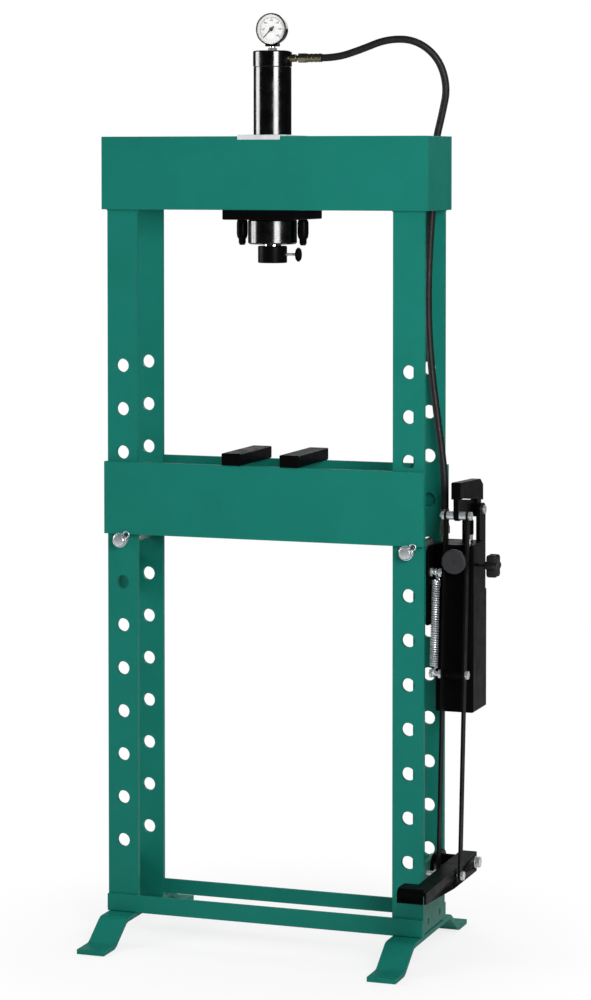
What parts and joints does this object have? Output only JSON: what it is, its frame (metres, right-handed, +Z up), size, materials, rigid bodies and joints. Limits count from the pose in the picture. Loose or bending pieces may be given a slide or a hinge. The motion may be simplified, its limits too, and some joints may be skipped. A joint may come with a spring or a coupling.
{
  "type": "hydraulic shop press",
  "caption": "Two-column hydraulic floor press with pinned height-adjustable table, foot pump, hose-fed cylinder, ram and pressure gauge.",
  "frame": {"origin": "on the floor, midway between the two columns and midway between their front and rear bars", "axes": "+Z up; +X towards the column that carries the pump; -Y towards the operator, so +Y is the depth from front to back"},
  "size_m": [0.823, 0.56, 1.9145],
  "materials": {
    "frame_paint": "satin",
    "tie_paint": "satin",
    "cylinder_paint": "gloss",
    "black_paint": "satin",
    "strap_paint": "satin",
    "zinc_plate": "satin",
    "spring_steel": "satin",
    "chrome_rod": "polished",
    "fitting_plate": "satin",
    "hose_rubber": "satin",
    "seal_rubber": "matte",
    "knob_plastic": "matte",
    "gauge_body": "gloss",
    "dial_face": "matte",
    "pointer_black": "matte",
    "lens_glass": "gloss"
  },
  "bodies": {
    "frame": {"left_front_upright": "frame_paint", "left_rear_upright": "frame_paint", "right_front_upright": "frame_paint", "right_rear_upright": "frame_paint", "head_front_plate": "frame_paint", "head_rear_plate": "frame_paint", "head_end_plates": "frame_paint", "head_cross_bars": "frame_paint", "base_rails": "frame_paint", "left_foot": "frame_paint", "right_foot": "frame_paint", "left_base_tie": "frame_paint", "middle_tie_plates": "frame_paint", "right_base_tie": "tie_paint", "cylinder_tube": "cylinder_paint", "cylinder_cap": "cylinder_paint", "cylinder_gland": "cylinder_paint", "cylinder_flange_plate": "black_paint", "pump_mounting_plate": "black_paint", "pump_tank": "black_paint", "pump_body": "black_paint", "filler_spout": "black_paint", "pedal_bracket": "black_paint", "cylinder_guide_plate": "zinc_plate", "clamp_studs": "zinc_plate", "pump_bolts": "zinc_plate", "pivot_pins": "zinc_plate", "pedal_return_spring": "zinc_plate", "gauge_stem": "zinc_plate", "ram_return_spring": "spring_steel", "hose_fittings": "fitting_plate", "hose_ferrules": "fitting_plate", "hose": "hose_rubber", "gland_wiper": "seal_rubber", "gauge_case": "gauge_body", "gauge_dial": "dial_face", "gauge_lens": "lens_glass"},
    "ram": {"piston": "spring_steel", "piston_seal": "seal_rubber", "piston_rod": "chrome_rod", "ram_cap": "black_paint"},
    "thumbscrew": {"ram_thumbscrew": "black_paint"},
    "left clamp knob": {"left_clamp_knob": "black_paint"},
    "right clamp knob": {"right_clamp_knob": "black_paint"},
    "pointer": {"gauge_pointer": "pointer_black"},
    "table": {"table_front_plate": "frame_paint", "table_rear_plate": "frame_paint", "table_spacers": "frame_paint"},
    "left block": {"left_press_block": "black_paint"},
    "right block": {"right_press_block": "black_paint"},
    "left pin": {"left_table_pin": "zinc_plate"},
    "right pin": {"right_table_pin": "zinc_plate"},
    "pedal": {"pedal_lever": "black_paint"},
    "straps": {"pull_straps": "strap_paint", "strap_bolts": "zinc_plate", "strap_spacers": "zinc_plate"},
    "rocker": {"rocker_arm": "black_paint"},
    "plunger": {"pump_plunger": "chrome_rod"},
    "release valve": {"release_knob": "knob_plastic"},
    "filler": {"tank_filler_cap": "knob_plastic"}
  },
  "joints": [
    {"name": "ram slide", "type": "slide", "parent": "frame", "child": "ram", "axis": [0, 0, -1], "range_m": [0, 0.15], "stiffness_N_per_m": 1500, "springref_m": -0.06, "deforming": ["ram_return_spring"]},
    {"name": "thumbscrew turn", "type": "hinge", "parent": "ram", "child": "thumbscrew", "pos_m": [0.0136, 0, 1.42], "axis": [1, 0, 0], "range_deg": [0, 540]},
    {"name": "left clamp turn", "type": "hinge", "parent": "frame", "child": "left clamp knob", "pos_m": [-0.0729, 0, 1.47], "axis": [0, 0, 1], "range_deg": [0, 540]},
    {"name": "right clamp turn", "type": "hinge", "parent": "frame", "child": "right clamp knob", "pos_m": [0.0601, 0, 1.47], "axis": [0, 0, 1], "range_deg": [0, 540]},
    {"name": "gauge pointer turn", "type": "hinge", "parent": "frame", "child": "pointer", "pos_m": [-0.0064, -0.008, 1.8815], "axis": [0, 1, 0], "range_deg": [0, 270], "stiffness_Nm_per_rad": 0.002, "springref_deg": -11.46},
    {"name": "table lift", "type": "slide", "parent": "frame", "child": "table", "axis": [0, 0, 1], "range_m": [0, 0.18]},
    {"name": "left block slide", "type": "slide", "parent": "table", "child": "left block", "axis": [1, 0, 0], "range_m": [-0.1, 0.03]},
    {"name": "right block slide", "type": "slide", "parent": "table", "child": "right block", "axis": [1, 0, 0], "range_m": [-0.03, 0.1]},
    {"name": "left pin pull", "type": "slide", "parent": "frame", "child": "left pin", "axis": [0, -1, 0], "range_m": [0, 0.2]},
    {"name": "right pin pull", "type": "slide", "parent": "frame", "child": "right pin", "axis": [0, -1, 0], "range_m": [0, 0.2]},
    {"name": "pedal press", "type": "hinge", "parent": "frame", "child": "pedal", "pos_m": [0.4015, 0.038, 0.185], "axis": [1, 0, 0], "range_deg": [0, 17], "stiffness_Nm_per_rad": 100, "springref_deg": -8.59, "deforming": ["pedal_return_spring"]},
    {"name": "straps foot pivot", "type": "hinge", "parent": "pedal", "child": "straps", "pos_m": [0.4015, -0.09, 0.186], "axis": [1, 0, 0], "range_deg": [-17.05, 0]},
    {"name": "rocker pivot", "type": "hinge", "parent": "frame", "child": "rocker", "pos_m": [0.4015, 0.088, 0.9], "axis": [1, 0, 0], "range_deg": [0, 17.05]},
    {"name": "plunger stroke", "type": "slide", "parent": "frame", "child": "plunger", "axis": [0, 0, -1], "range_m": [0, 0.013]},
    {"name": "release valve turn", "type": "hinge", "parent": "frame", "child": "release valve", "pos_m": [0.44, 0.02, 0.795], "axis": [1, 0, 0], "range_deg": [0, 180]},
    {"name": "filler cap turn", "type": "hinge", "parent": "frame", "child": "filler", "pos_m": [0.4015, -0.062, 0.811], "axis": [0, -1, 0], "range_deg": [0, 720]}
  ],
  "couplings": [
    {"joint": "straps foot pivot", "follows": "pedal press", "ratio": -1},
    {"joint": "rocker pivot", "follows": "pedal press", "ratio": 1},
    {"joint": "plunger stroke", "follows": "pedal press", "m_per_rad": 0.0437}
  ]
}
